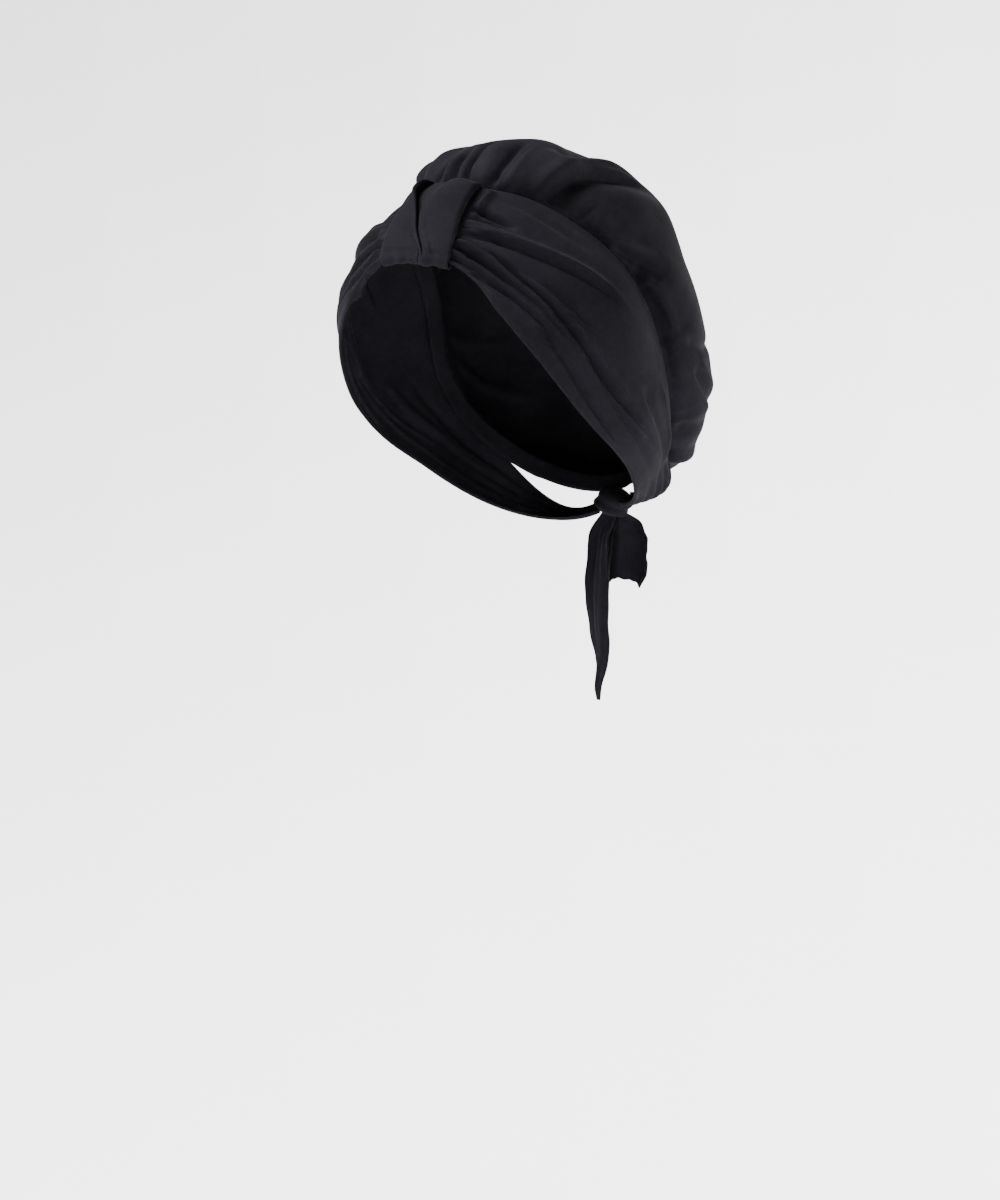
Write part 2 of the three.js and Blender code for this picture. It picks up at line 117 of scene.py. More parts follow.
# How a fold fades in and out along its path, as shares of it, and how many widths it reaches
FOLD_START = 0.18
FOLD_END = 0.4
FOLD_REACH = 3.5

# The band's turn at the knot, and where along the band its own turn towards the knot starts
BAND_TURN = 165
KNOT_TURN_FROM = 0.8

# Where the band comes out from under the strip, as shares of its length
LOOP_CLEAR = 0.075
LOOP_CLEAR_EASE = 0.015

# The band's gathers near the knot: height, waves up it, slant, and where along it they start
GATHER_TALL = 0.9
GATHER_WAVES = 4.5
GATHER_SLANT = 3
GATHER_FROM = 0.84
GATHER_EASE = 0.12

# The band's hems and the rounding of its edges: heights in millimetres, widths as shares of
# its height
HEM_ROWS = (0.004, 0.009)
HEM_LOW = 0.35
HEM_TOP = 0.25
HEM_WIDE = 0.03
CURL = 0.9
CURL_WIDE = 0.008
EDGE_POWER = 0.3

# Slack in the band: height, and waves along it, up it, and where each starts
BAND_SLACK = 0.5
BAND_WAVES = ((9, 7, 0), (17, -5, 1), (26, 3, 2))

# Slack in the bag: height, where it starts, the length that its waves are over, and waves
# along x, y and z with where each starts
BAG_SLACK = 0.8
BAG_SLACK_FROM = 0.15
WAVE_LENGTH = 100
BAG_WAVES = ((5, 7, 4, 0), (9, -6, 8, 1), (7, 13, -9, 2))

# The bag's puckers at the band: height, where they start and fade, and waves round it
PUCKER_TALL = 1.1
PUCKER_FROM = 0.03
PUCKER_FADE = 0.09
PUCKER_WAVES = ((47, 0), (61, 1), (83, 2), (38, 3))

# Where and over what steps the bag's way out is measured, and where its top becomes level
NORMAL_LOW = 0.02
NORMAL_TOP = 0.99
NORMAL_TURN_STEP = 1
NORMAL_UP_STEP = 0.004
CAP_FROM = 0.95

# The strip's raised layers fade towards its low edge and its top: over what share of its
# height, and what is left there. Its puff ends at a share of its height.
LOW_FADE = 0.05
LOW_LEFT = 0.35
TOP_FADE = 0.12
TOP_LEFT = 0.4
PUFF_END = 0.95
PUFF_POWER = 0.5

# The rounding of the strip's side edges: depth in millimetres, width as a share of its width
SIDE_ROUNDING = 0.7
SIDE_ROUNDING_WIDE = 0.02

# Pinches beside the lap at the low edge, and the edge's dip and waves there: heights in
# millimetres, pitches and spreads in degrees of turn, and how far up they fade
PINCH_TALL = 0.7
PINCH_PITCH = 2.4
PINCH_SPREAD = 4
PINCH_FADE = 0.12
DIP_TALL = 1.1
DIP_SPREAD = 2.5
DIP_FADE = 0.06
EDGE_WAVE_TALL = 0.35
EDGE_WAVE_PITCH = 1.3

# Where the lap is across the strip, and how high the two layers stand from their side edges
# to the lap, as shares of LAP_RISE
LAP_AT = 0.5
NARROW_RISE = 0.5
WIDE_RISE = 1.02
WIDE_DROP = 0.7

# The knot's wraps and creases, as shares of its size, and the share of it left as its core
KNOT_WRAP = 0.06
KNOT_SLANT = 0.6
KNOT_CREASE = 0.03
KNOT_CREASES_UP = 9
KNOT_CREASES_ACROSS = 5
KNOT_DRAWN_IN = 0.02
KNOT_CORE = 0.75

# The free ends' waves and creases: where they start as shares of the length, how much they
# turn on the way down, and how the low edge and the side edges fray, each wave as height,
# pitch and start
WAVE_FROM = 0.2
WAVE_LEAN = 2
CREASE_TALL = 0.5
CREASE_FROM = 0.1
CREASE_LEAN = 4
CREASE_LOSS = 0.5
SETTLED = 0.15
SCALLOP = 0.09
TORN_POINT = 0.05
TORN_POINT_AT = 0.8
TORN_POINT_WIDE = 0.14
RAGGED_FROM = 0.9
RAGGED_WAVES = ((0.5, 19, 0), (0.3, 43, 1))
FRAYED_WAVES = ((0.5, 17, 1), (0.2, 39, 0))

# The band at stations from the front (0) to the knot (1). Turns are degrees round the
# axis of the wrap; rises are shares of half the head's height; lifts are shares of
# STAND_OFF, and puff is a share of BAND_PUFF.
BAND_NAMES = ["at", "low_turn", "low_rise", "low_lift", "top_turn", "top_rise", "top_lift", "puff"]
BAND = [
    [0.00, 0, -0.166, 0.33, 0, 0.378, 0.88, 0.30],
    [0.07, 12, -0.160, 0.33, 11, 0.398, 0.90, 0.30],
    [0.14, 23, -0.190, 0.28, 23, 0.459, 0.88, 0.35],
    [0.22, 35, -0.265, 0.25, 36, 0.510, 0.81, 0.55],
    [0.32, 50, -0.306, 0.25, 53, 0.561, 0.75, 0.85],
    [0.42, 65, -0.316, 0.25, 68, 0.580, 0.69, 1.00],
    [0.52, 80, -0.306, 0.28, 82, 0.562, 0.66, 0.90],
    [0.61, 95, -0.265, 0.31, 95, 0.500, 0.63, 0.70],
    [0.70, 108, -0.204, 0.38, 110, 0.425, 0.66, 0.60],
    [0.79, 122, -0.122, 0.44, 124, 0.388, 0.72, 0.50],
    [0.88, 138, -0.031, 0.50, 137, 0.337, 0.81, 0.30],
    [0.95, 152, 0.071, 0.56, 149, 0.286, 1.44, 0.10],
    [1.00, 164, 0.163, 0.63, 162, 0.255, 0.75, 0.00],
]

# The bag's outline from the band's top edge to its pole, at turns from the front (0) to
# the nape (180). Lean is degrees outward; reach and spread are shares of BAG_RISE.
BAG_NAMES = ["turn", "lean", "reach", "spread"]
BAG = [
    [0, 52, 0.327, 0.251],
    [30, 51, 0.308, 0.250],
    [60, 49, 0.300, 0.220],
    [90, 51, 0.287, 0.172],
    [120, 57, 0.350, 0.177],
    [150, 64, 0.406, 0.189],
    [180, 65, 0.418, 0.193],
]

# Folds. Each follows a path through four places on its surface, given as turn and share
# of the way up. Wide and tall are shares of FOLD_WIDE and FOLD_TALL, a valley's tall is
# below zero, and skew makes one flank steeper. Folds marked 2 are on both sides.
FOLD_NAMES = ["sides", "a", "a_up", "b", "b_up", "c", "c_up", "d", "d_up", "wide", "tall", "skew"]
BAG_FOLDS = [
    [1, -10, 0.02, -8, 0.10, -5, 0.18, -3, 0.28, 0.17, -0.50, 0.3],
    [1, -6, 0.02, -5, 0.11, -4, 0.20, -3, 0.32, 0.28, 0.36, 0.0],
    [1, -1, 0.02, -2, 0.10, -2, 0.17, -1, 0.27, 0.16, -0.48, 0.4],
    [1, 4, 0.02, 2, 0.12, 3, 0.22, 5, 0.34, 0.18, -0.62, 0.4],
    [1, 8, 0.02, 7, 0.12, 7, 0.22, 8, 0.36, 0.42, 0.20, 0.0],
    [1, 11, 0.02, 12, 0.12, 12, 0.22, 10, 0.40, 0.16, -0.46, 0.5],
    [1, 14, 0.02, 15, 0.12, 15, 0.22, 13, 0.38, 0.20, 0.30, -0.4],
    [1, 17, 0.02, 18, 0.15, 20, 0.28, 24, 0.48, 0.70, 0.35, 0.0],
    [1, 1, 0.16, 5, 0.28, 11, 0.39, 19, 0.47, 1.30, 0.48, 0.0],
    [1, -16, 0.02, -15, 0.12, -13, 0.22, -10, 0.36, 0.50, 0.50, 0.0],
    [1, -23, 0.02, -22, 0.12, -20, 0.24, -16, 0.40, 0.34, -0.60, -0.3],
    [2, 22, 0.25, 24, 0.42, 26, 0.58, 36, 0.76, 0.90, -0.85, 0.0],
    [2, 20, 0.02, 27, 0.25, 31, 0.52, 50, 0.66, 0.56, 0.80, 0.4],
    [2, 24, 0.01, 30, 0.22, 38, 0.44, 56, 0.59, 0.70, -1.30, -0.6],
    [2, 34, 0.06, 47, 0.22, 58, 0.42, 72, 0.58, 1.50, 0.42, 0.0],
    [1, 38, 0.015, 39, 0.05, 40, 0.09, 42, 0.15, 0.20, -0.34, 0.3],
    [2, 45, 0.03, 54, 0.07, 65, 0.15, 82, 0.30, 0.50, 0.45, 0.2],
    [2, 52, 0.02, 60, 0.05, 70, 0.10, 84, 0.20, 0.36, -0.60, 0.3],
    [2, 67, 0.03, 79, 0.07, 91, 0.09, 106, 0.15, 0.34, 0.50, 0.4],
    [2, 88, 0.03, 100, 0.03, 112, 0.03, 124, 0.03, 0.35, -0.35, 0.0],
    [2, 100, 0.14, 111, 0.245, 123, 0.38, 140, 0.55, 0.34, -0.38, 0.3],
    [2, 112, 0.16, 122, 0.20, 134, 0.27, 152, 0.38, 0.32, -0.38, 0.3],
    [2, 112, 0.20, 122, 0.25, 134, 0.33, 148, 0.46, 0.50, 0.18, 0.0],
    [2, 132, 0.02, 134, 0.10, 137, 0.20, 142, 0.34, 0.50, -0.32, 0.0],
    [2, 148, 0.02, 149, 0.10, 151, 0.18, 154, 0.30, 0.42, 0.50, 0.0],
    [2, 161, 0.02, 162, 0.09, 163, 0.16, 164, 0.26, 0.36, -0.55, 0.2],
    [1, 178, 0.02, 178, 0.10, 179, 0.19, 180, 0.30, 0.55, 0.50, 0.0],
]
BAND_FOLDS = [
    [1, 0.083, 0.99, 0.084, 0.82, 0.086, 0.64, 0.089, 0.42, 0.11, 0.85, 0.3],
    [2, 0.066, 0.60, 0.095, 0.57, 0.130, 0.545, 0.180, 0.55, 0.20, -1.30, 0.5],
    [2, 0.066, 0.31, 0.190, 0.46, 0.330, 0.60, 0.470, 0.66, 0.22, 0.52, 0.5],
    [2, 0.066, 0.27, 0.190, 0.41, 0.330, 0.55, 0.460, 0.61, 0.20, -0.47, 0.0],
    [2, 0.090, 0.18, 0.320, 0.24, 0.560, 0.235, 0.870, 0.53, 0.17, -0.75, 0.5],
    [2, 0.090, 0.22, 0.320, 0.28, 0.560, 0.275, 0.860, 0.56, 0.24, 0.39, 0.0],
    [2, 0.140, 0.22, 0.280, 0.31, 0.420, 0.33, 0.580, 0.36, 0.20, -0.31, 0.4],
    [2, 0.095, 0.10, 0.140, 0.12, 0.190, 0.15, 0.240, 0.21, 0.14, -0.44, 0.4],
    [2, 0.130, 0.02, 0.170, 0.06, 0.215, 0.11, 0.280, 0.15, 0.14, -0.47, 0.4],
    [2, 0.170, 0.01, 0.220, 0.05, 0.270, 0.09, 0.330, 0.12, 0.14, 0.29, 0.0],
    [2, 0.075, 0.13, 0.170, 0.165, 0.260, 0.195, 0.350, 0.21, 0.13, -0.52, 0.4],
    [2, 0.075, 0.17, 0.190, 0.205, 0.290, 0.225, 0.390, 0.225, 0.14, 0.39, 0.0],
    [2, 0.110, 0.06, 0.200, 0.10, 0.290, 0.135, 0.390, 0.15, 0.12, -0.49, 0.4],
    [2, 0.130, 0.10, 0.230, 0.14, 0.330, 0.165, 0.440, 0.17, 0.14, 0.34, 0.0],
    [2, 0.310, 0.13, 0.420, 0.09, 0.570, 0.07, 0.760, 0.06, 0.17, -0.47, 0.5],
    [2, 0.420, 0.23, 0.560, 0.20, 0.720, 0.22, 0.900, 0.30, 0.20, -0.34, 0.3],
    [2, 0.600, 0.46, 0.700, 0.50, 0.820, 0.58, 0.940, 0.66, 0.28, -0.29, 0.2],
    [2, 0.640, 0.70, 0.740, 0.73, 0.840, 0.76, 0.940, 0.80, 0.30, 0.29, 0.0],
    [2, 0.090, 0.84, 0.160, 0.80, 0.240, 0.78, 0.340, 0.80, 0.34, -0.18, 0.2],
]

# Small pleats where the band is drawn in by the strip: height up the band, length along
# it, and depth as a share of FOLD_TALL
PLEAT_START = 0.058
PLEAT_WIDE = 0.10
PLEAT_SKEW = 0.3
PLEAT_STEPS = (0, 0.33, 0.67, 1)
PLEAT_DRIFT = (-0.01, 0, 0.01, 0.03)
PLEATS = [
    [0.04, 0.11, -0.42],
    [0.09, 0.13, 0.36],
    [0.14, 0.16, -0.50],
    [0.20, 0.15, 0.39],
    [0.36, 0.13, -0.31],
    [0.42, 0.11, 0.25],
    [0.48, 0.12, -0.28],
]

# The strip over the front, from the band's low edge (0) to its top (1): the turns of its
# two edges and of the narrow layer's edge, which laps the wide one, the share of LAP_RISE,
# and how wide the wide layer's slope beside the lap is, in millimetres
LOOP_NAMES = ["up", "right", "lap", "left", "rise", "valley"]
LOOP = [
    [0.00, -11.0, 5.5, 14.2, 0.35, 0.0],
    [0.18, -10.6, 1.7, 13.6, 0.36, 0.0],
    [0.36, -9.4, -0.6, 12.4, 0.50, 0.8],
    [0.50, -8.6, -2.6, 11.6, 0.75, 6.0],
    [0.70, -8.4, -6.0, 10.5, 1.00, 12.5],
    [0.88, -8.8, -7.6, 9.4, 0.95, 15.5],
    [1.00, -8.6, -7.8, 8.8, 0.50, 15.5],
]

# The section across the lap, from the narrow layer to the wide one: millimetres sideways
# from the narrow layer's edge, the share of the slope's width, and the share of the rise
LAP_SECTION = [
    [-1.6, 0.0, 1.02],
    [-0.5, 0.0, 1.00],
    [0.2, 0.0, 0.86],
    [0.3, 0.0, 0.62],
    [-0.1, 0.0, 0.38],
    [-0.6, 0.0, 0.14],
    [-0.3, 0.0, -0.04],
    [0.4, 0.12, -0.08],
    [0.6, 0.34, -0.08],
    [0.8, 0.54, -0.02],
    [1.0, 0.70, 0.18],
    [1.2, 0.83, 0.48],
    [1.6, 0.95, 0.78],
    [2.2, 1.03, 0.95],
    [3.0, 1.10, 1.02],
]
LAP_END = LAP_SECTION[-1][:2]

# The free ends, from the knot down (0 to 1): edges as shares of the end's width to each
# side of its own middle line, and how far the middle line moves sideways
TAIL_NAMES = ["down", "right", "left", "shift"]
SHORT_ROWS_AT = [
    [0.00, -0.16, 0.16, 0.00],
    [0.16, -0.36, 0.38, 0.03],
    [0.40, -0.46, 0.50, 0.06],
    [0.70, -0.48, 0.53, 0.08],
    [0.90, -0.46, 0.50, 0.09],
    [1.00, -0.42, 0.42, 0.09],
]
LONG_ROWS_AT = [
    [0.00, -0.20, 0.20, -0.06],
    [0.15, -0.38, 0.36, -0.35],
    [0.45, -0.42, 0.42, -0.44],
    [0.62, -0.36, 0.40, -0.42],
    [0.78, -0.18, 0.28, -0.36],
    [0.92, -0.06, 0.10, -0.36],
    [1.00, -0.03, 0.03, -0.38],
]

# The camera and the photograph's frame
PHOTO_WIDE = 1000
PHOTO_TALL = 1200
AZIMUTH = 38.0
ELEVATION = 2.0
DISTANCE = 2.5
METRES_PER_PIXEL = 0.00054
HEAD_PIXEL = (497.0, 384.0)
SENSOR = 36.0

HALF_HEAD = np.array([HEAD_WIDE, HEAD_DEEP, HEAD_TALL]) / 2
LEAN = math.radians(LEAN_BACK)
AXIS = np.array([0.0, math.sin(LEAN), math.cos(LEAN)])
FRONT = np.array([0.0, -math.cos(LEAN), math.sin(LEAN)])
SIDE = np.array([1.0, 0.0, 0.0])


# Curves through the tables


def smooth_curve(xs, ys, mirrored=False):
    """A smooth curve through the points that never swings past them. A mirrored one is
    level at both ends."""
    xs = np.asarray(xs, float)
    ys = np.asarray(ys, float)
    steps = np.diff(xs)
    slopes = np.diff(ys) / steps
    tangents = np.zeros(len(xs))
    for i in range(1, len(xs) - 1):
        before, after = slopes[i - 1], slopes[i]
        if before * after > 0:
            heavy = 2 * steps[i] + steps[i - 1]
            light = steps[i] + 2 * steps[i - 1]
            tangents[i] = (heavy + light) / (heavy / before + light / after)
    if not mirrored:
        tangents[0] = slopes[0]
        tangents[-1] = slopes[-1]

    def curve(x):
        held = np.clip(x, xs[0], xs[-1])
        i = np.clip(np.searchsorted(xs, held, side="right") - 1, 0, len(steps) - 1)
        t = (held - xs[i]) / steps[i]
        pull = steps[i] * t * (1 - t) * ((1 - t) * tangents[i] - t * tangents[i + 1])
        return ys[i] + (ys[i + 1] - ys[i]) * t * t * (3 - 2 * t) + pull

    return curve


def table_curves(names, rows, over=None, mirrored=False):
    """One curve for each column, over the first column or the one named."""
    columns = dict(zip(names, zip(*rows)))
    xs = columns[over or names[0]]
    return {name: smooth_curve(xs, column, mirrored) for name, column in columns.items()}


def ease(t):
    t = np.clip(t, 0.0, 1.0)
    return t * t * (3 - 2 * t)


def fray(rows, t):
    """The small unevenness of a torn edge."""
    return sum(tall * np.sin(pitch * t + start) for tall, pitch, start in rows)


def mix(a, b, t):
    return a + (b - a) * t


def bump(distance, width):
    """A smooth bump, 1 in its middle, that is gone a few widths away."""
    return np.exp(-((distance / width) ** 2))


def ripple(*waves):
    """A sum of sines of irregular pitch, for the small unevenness of cloth."""
    return sum(np.sin(wave) for wave in waves) / len(waves)


BAND_CURVES = table_curves(BAND_NAMES, BAND)
TOP_EDGE = table_curves(BAND_NAMES, BAND, over="top_turn", mirrored=True)
BAG_CURVES = table_curves(BAG_NAMES, BAG, mirrored=True)
LOOP_CURVES = table_curves(LOOP_NAMES, LOOP)


# Places round the head


def outward(turn):
    """Direction away from the wrap's axis at a turn in degrees."""
    angle = np.radians(turn)[..., None]
    return np.cos(angle) * FRONT + np.sin(angle) * SIDE


def on_head(turn, rise, lift):
    """The point at a turn and rise that lies on the head grown by a lift."""
    turn, rise, lift = np.broadcast_arrays(*(np.asarray(v, float) for v in (turn, rise, lift)))
    grown = HALF_HEAD + lift[..., None]
    ray = outward(turn)
    start = rise[..., None] * AXIS
    a = ((ray / grown) ** 2).sum(-1)
    b = (start * ray / grown**2).sum(-1)
    c = ((start / grown) ** 2).sum(-1) - 1
    reach = (-b + np.sqrt(np.maximum(b * b - a * c, 0))) / a
    return start + reach[..., None] * ray


# Folds


def fold_path(row, place, mirror):
    """The path of a fold over a surface, with its width, height and skew."""
    fold = dict(zip(FOLD_NAMES, row))
    knots = np.array([[fold[k], fold[k + "_up"]] for k in "abcd"])
    u = 3 * np.arange(FOLD_STEPS + 1) / FOLD_STEPS
    weights = []
    for i in range(4):
        others = [(u - j) / (i - j) for j in range(4) if j != i]
        weights.append(np.prod(others, axis=0))
    spots = np.stack(weights, -1) @ knots
    points = place(spots[:, 0] * mirror, spots[:, 1])
    return points, mirror, fold["wide"] * FOLD_WIDE, fold["tall"] * FOLD_TALL, fold["skew"]


def fold_paths(rows, place):
    return [fold_path(row, place, m) for row in rows for m in ([1, -1] if row[0] == 2 else [1])]


def fold_height(points, paths):
    """The height that all folds give at each point of their surface."""
    shape = points.shape[:-1]
    flat = points.reshape(-1, 3)
    height = np.zeros(len(flat))
    for path, mirror, wide, tall, skew in paths:
        margin = FOLD_REACH * wide
        near = ((flat > path.min(0) - margin) & (flat < path.max(0) + margin)).all(1)
        spots = flat[near]
        nearest = np.full(len(spots), np.inf)
        share = np.zeros(len(spots))
        flank = np.zeros(len(spots))
        for k in range(FOLD_STEPS):
            along = path[k + 1] - path[k]
            off = spots - path[k]
            t = np.clip(off @ along / (along @ along), 0, 1)
            off = off - t[:, None] * along
            distance = np.linalg.norm(off, axis=1)
            closer = distance < nearest
            nearest = np.where(closer, distance, nearest)
            share = np.where(closer, (k + t) / FOLD_STEPS, share)
            side = np.sign((np.cross(along, off) * spots).sum(1)) * mirror
            flank = np.where(closer, side, flank)
        width = wide * (1 + skew * flank)
        fade = ease(share / FOLD_START) * ease((1 - share) / FOLD_END)
        height[near] += tall * fade * bump(nearest, width)
    return height.reshape(shape)


# Closed meshes from grids


def wall(name, outer, inner, ring=False):
    """A cloth wall between two faces given as grids of points, along then up. A ring
    closes on itself along its first direction."""
    columns, rows = outer.shape[:2]
    points = np.concatenate([outer.reshape(-1, 3), inner.reshape(-1, 3)]) * MM
    at = np.arange(columns * rows).reshape(columns, rows)
    last = columns if ring else columns - 1
    i = np.arange(last)
    after = (i + 1) % columns
    a, b = at[i][:, :-1], at[after][:, :-1]
    c, d = at[after][:, 1:], at[i][:, 1:]
    shift = columns * rows
    quads = [np.stack([a, b, c, d], -1).reshape(-1, 4)]
    quads.append(np.stack([a, d, c, b], -1).reshape(-1, 4) + shift)
    low, low_after = at[i, 0], at[after, 0]
    quads.append(np.stack([low + shift, low_after + shift, low_after, low], -1))
    top, top_after = at[i, -1], at[after, -1]
    quads.append(np.stack([top, top_after, top_after + shift, top + shift], -1))
    if not ring:
        j = np.arange(rows - 1)
        first, final = at[0], at[-1]
        quads.append(np.stack([first[j] + shift, first[j], first[j + 1], first[j + 1] + shift], -1))
        quads.append(np.stack([final[j], final[j] + shift, final[j + 1] + shift, final[j + 1]], -1))
    mesh = bpy.data.meshes.new(name)
    mesh.from_pydata(points.tolist(), [], np.concatenate(quads).tolist())
    mesh.update()
    work = bmesh.new()
    work.from_mesh(mesh)
    bmesh.ops.remove_doubles(work, verts=work.verts, dist=WELD)
    bmesh.ops.recalc_face_normals(work, faces=work.faces)
    work.to_mesh(mesh)
    work.free()
    mesh.shade_smooth()
    obj = bpy.data.objects.new(name, mesh)
    bpy.context.scene.collection.objects.link(obj)
    return obj


# The band


def band_section(at, up):
    """The turn, the rise and the lift of the band at a station."""
    near = np.abs(at)
    side = np.where(at < 0, -1.0, 1.0)
    past = np.where(at < 0, KNOT_TURN * ease((near - KNOT_TURN_FROM) / (1 - KNOT_TURN_FROM)), 0.0)
    curves = BAND_CURVES
    turn = side * (mix(curves["low_turn"](near), curves["top_turn"](near), up) + past)
    rise = HALF_HEAD[2] * mix(curves["low_rise"](near), curves["top_rise"](near), up)
    lift = STAND_OFF * mix(curves["low_lift"](near), curves["top_lift"](near), up)
    puff = BAND_PUFF * curves["puff"](near) * np.sin(np.pi * up)
    return turn, rise, lift + puff


def band_base(at, up):
    return on_head(*band_section(np.asarray(at, float), np.asarray(up, float)))


def pleat_rows():
    """The pleats as rows of folds, on both sides of the strip."""
    for up, length, tall in PLEATS:
        steps = [PLEAT_START + length * share for share in PLEAT_STEPS]
        ups = [up + drift for drift in PLEAT_DRIFT]
        path = [value for pair in zip(steps, ups) for value in pair]
        yield [2, *path, PLEAT_WIDE, tall, PLEAT_SKEW]


def make_band():
    u = np.linspace(-1, 1, BAND_COLUMNS + 1)
    stations = np.sign(u) * np.abs(u) ** BAND_CROWDING
    hem_rows = np.array(HEM_ROWS)
    ups = np.sort(np.concatenate([np.linspace(0, 1, BAND_ROWS + 1), hem_rows, 1 - hem_rows]))
    at, up = np.meshgrid(stations, ups, indexing="ij")
    turn, rise, lift = band_section(at, up)
    paths = fold_paths(BAND_FOLDS + list(pleat_rows()), band_base)
    clear_of_loop = ease((np.abs(at) - LOOP_CLEAR) / LOOP_CLEAR_EASE)
    fold = fold_height(on_head(turn, rise, lift), paths)
    gather = GATHER_TALL * np.sin(2 * np.pi * GATHER_WAVES * up + GATHER_SLANT * at)
    gather = gather * ease((np.abs(at) - GATHER_FROM) / GATHER_EASE)
    slack = BAND_SLACK * ripple(*(a * at + b * up + c for a, b, c in BAND_WAVES))
    hem = HEM_LOW * bump(up, HEM_WIDE) + HEM_TOP * bump(1 - up, HEM_WIDE)
    curl = CURL * (bump(up, CURL_WIDE) + bump(1 - up, CURL_WIDE))
    edge = np.sin(np.pi * up) ** EDGE_POWER
    lift = lift + clear_of_loop * (fold + slack * edge + gather * edge) + hem
    outer = on_head(turn, rise, lift - curl)
    inner = on_head(turn, rise, lift - CLOTH - hem + curl)
    return wall("band_cloth", outer, inner)


# The bag


def bag_base(turn, up):
    """The outer face of the bag without its folds. Below 0 it is the hem inside the band."""
    turn, up = np.broadcast_arrays(np.asarray(turn, float), np.asarray(up, float))
    around = np.abs((turn + 540) % 360 - 180)
    floor = np.where(around > 90, NAPE_RISE, 0.0)
    rise = HALF_HEAD[2] * np.maximum(TOP_EDGE["top_rise"](around), floor)
    lift = STAND_OFF * np.minimum(TOP_EDGE["top_lift"](around), NAPE_LIFT) - CLOTH - TUCK_GAP
    hem = on_head(turn, rise + np.minimum(up, 0) * TUCK_DEPTH, lift)
    ray = outward(turn)
    start = on_head(turn, rise, lift)
    lean = np.radians(BAG_CURVES["lean"](around))
    handle = BAG_RISE * BAG_CURVES["reach"](around)
    spread = BAG_RISE * BAG_CURVES["spread"](around)
    pole = BAG_RISE * AXIS
    first = start + (handle * np.sin(lean))[..., None] * ray
    first = first + (handle * np.cos(lean))[..., None] * AXIS
    second = pole + spread[..., None] * ray
    t = np.maximum(up, 0)[..., None]
    low_half = start * (1 - t) ** 3 + 3 * first * t * (1 - t) ** 2
    bag = low_half + 3 * second * t * t * (1 - t) + pole * t**3
    return np.where(up[..., None] < 0, hem, bag)


def bag_normal(turn, up):
    """The way out of the bag's face."""
    near = np.clip(up, NORMAL_LOW, NORMAL_TOP)
    across = bag_base(turn + NORMAL_TURN_STEP, near) - bag_base(turn - NORMAL_TURN_STEP, near)
    along = bag_base(turn, near + NORMAL_UP_STEP) - bag_base(turn, near - NORMAL_UP_STEP)
    normal = np.cross(across, along)
    normal /= np.linalg.norm(normal, axis=-1, keepdims=True)
    cap = ease((up - CAP_FROM) / (1 - CAP_FROM))[..., None]
    normal = mix(normal, AXIS, cap)
    return normal / np.linalg.norm(normal, axis=-1, keepdims=True)


def make_bag():
    u = 2 * np.arange(BAG_COLUMNS) / BAG_COLUMNS - 1
    turns = 180 * (u - BAG_CROWDING * np.sin(np.pi * u) / np.pi)
    tuck = np.arange(TUCK_ROWS) / TUCK_ROWS - 1
    ups = np.linspace(0, 1, BAG_ROWS + 1) ** BAG_UP_CROWDING
    turn, up = np.meshgrid(turns, np.concatenate([tuck, ups]), indexing="ij")
    base = bag_base(turn, up)
    fold = ease(up / EDGE_EASE) * fold_height(base, fold_paths(BAG_FOLDS, bag_base))
    angle = np.radians(turn)
    pucker = ripple(*(count * angle + start for count, start in PUCKER_WAVES))
    fading = np.exp(-np.maximum(up, 0) / PUCKER_FADE)
    pucker = PUCKER_TALL * pucker * ease(up / PUCKER_FROM) * fading
    x, y, z = (base[..., i] / WAVE_LENGTH for i in range(3))
    slack = ripple(*(a * x + b * y + c * z + start for a, b, c, start in BAG_WAVES))
    lift = (fold + pucker + BAG_SLACK * slack * ease(up / BAG_SLACK_FROM))[..., None]
    normal = bag_normal(turn, up)
    inner = base + (lift - CLOTH) * normal
    inner[:, -1] = inner[:, -1].mean(0)
    outer = base + lift * normal
    outer[:, -1] = outer[:, -1].mean(0)
    return wall("crown_cloth", outer, inner, ring=True)


# The strip looped over the front of the band


def turn_over(millimetres):
    """The turn in degrees that a length along the band's front takes up."""
    return np.degrees(millimetres / HEAD_DEEP * 2)


